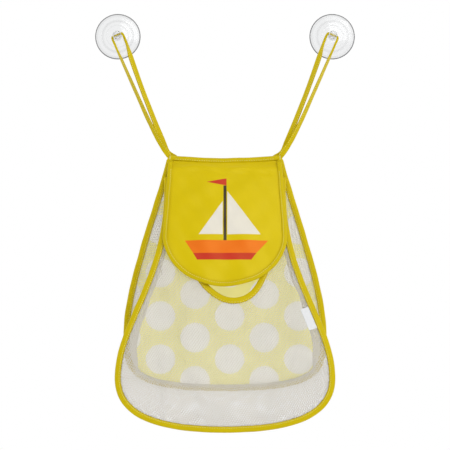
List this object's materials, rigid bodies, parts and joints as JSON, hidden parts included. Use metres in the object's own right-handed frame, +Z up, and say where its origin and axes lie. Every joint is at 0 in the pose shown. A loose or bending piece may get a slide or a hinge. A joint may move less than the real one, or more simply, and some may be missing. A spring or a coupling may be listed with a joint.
{
  "type": "bath toy organizer",
  "caption": "Hanging mesh bag with bound seams, a dotted rear panel and a lift-up printed flap, held on a wall by strap loops on clear suction cups.",
  "frame": {"origin": "on the wall, midway between the centres of the two suction cups", "axes": "+X to the viewer's right, +Y into the wall, +Z up; the front faces -Y"},
  "size_m": [0.343, 0.093, 0.5426],
  "materials": {
    "clear_pvc": "clear soft PVC, glossy",
    "yellow_tape": "woven binding tape with a row of stitches",
    "yellow_thread": "dense sewing thread",
    "dotted_cloth": "smooth cloth with white dots",
    "net": "knitted net with open cells",
    "printed_cloth": "smooth printed cloth",
    "woven_label": "plain woven label"
  },
  "bodies": {
    "wall_cups": {"left_suction_cup": "clear_pvc", "right_suction_cup": "clear_pvc"},
    "bag": {"left_strap_loop": "yellow_tape", "right_strap_loop": "yellow_tape", "left_bar_tack": "yellow_thread", "right_bar_tack": "yellow_thread", "top_binding": "yellow_tape", "rear_panel": "dotted_cloth", "rear_binding": "yellow_tape", "front_panel": "net", "front_binding": "yellow_tape", "mouth_binding": "yellow_tape", "gusset": "net"},
    "flap": {"flap": "printed_cloth", "flap_binding": "yellow_tape"},
    "label": {"side_label": "woven_label"}
  },
  "joints": [
    {"name": "bag_swing", "type": "hinge", "parent": "wall_cups", "child": "bag", "pos_m": [0, -0.017, 0], "axis": [-1, 0, 0], "range_deg": [0, 40]},
    {"name": "flap_lift", "type": "hinge", "parent": "bag", "child": "flap", "pos_m": [0, -0.0104, -0.1653], "axis": [-1, 0, 0], "range_deg": [0, 160]},
    {"name": "label_flip", "type": "hinge", "parent": "bag", "child": "label", "pos_m": [0.11202, -0.06983, -0.36658], "axis": [-0.3703, 0.2658, 0.8901], "range_deg": [0, 100]}
  ]
}
